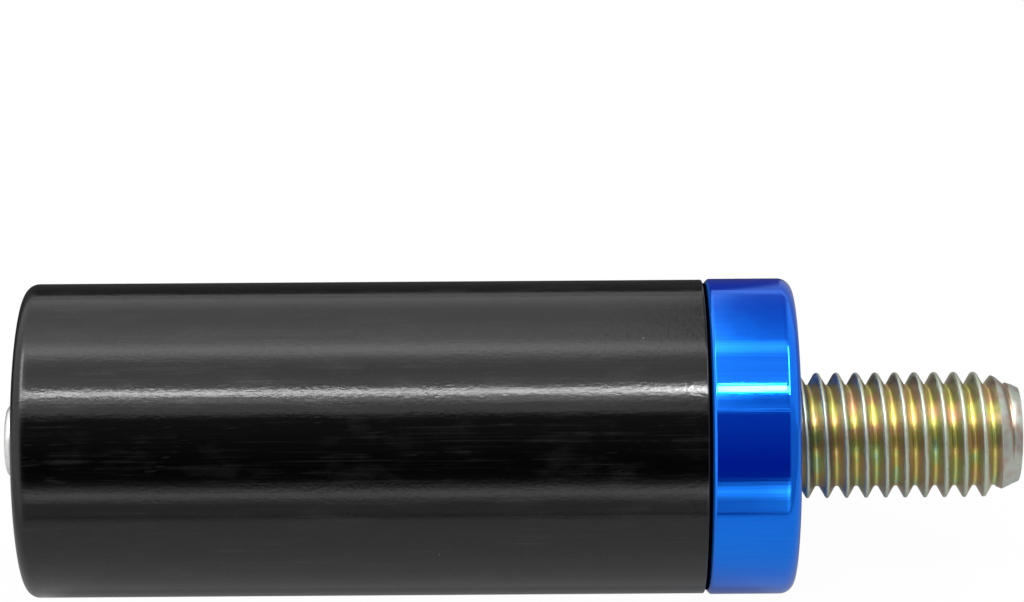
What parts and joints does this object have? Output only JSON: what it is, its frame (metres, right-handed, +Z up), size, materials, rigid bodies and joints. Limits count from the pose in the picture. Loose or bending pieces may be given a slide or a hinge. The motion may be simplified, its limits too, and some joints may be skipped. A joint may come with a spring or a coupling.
{
  "type": "motorcycle crash bobbin",
  "caption": "Short turned plastic slider with a metal collar and a threaded stud, screwed to a motorbike's frame to take the knock of a fall.",
  "frame": {"origin": "middle of the overall length, on the axis of the stud and the body", "axes": "+X along the axis from the plug in the outer end to the tip of the stud, +Z up; the part is round about X"},
  "size_m": [0.0644, 0.02, 0.02],
  "materials": {
    "black_plastic": "satin black, turned and polished along its length",
    "blue_anodising": "bright blue anodised, fine turned lines",
    "yellow_zinc": "yellow passivated zinc with worn thread crests",
    "insert_brass": "plain turned brass",
    "bright_steel": "bright steel"
  },
  "bodies": {
    "root": {"slider_body": "black_plastic", "collar": "blue_anodising", "stud": "yellow_zinc", "thread_insert": "insert_brass", "end_plug": "bright_steel"}
  },
  "joints": []
}
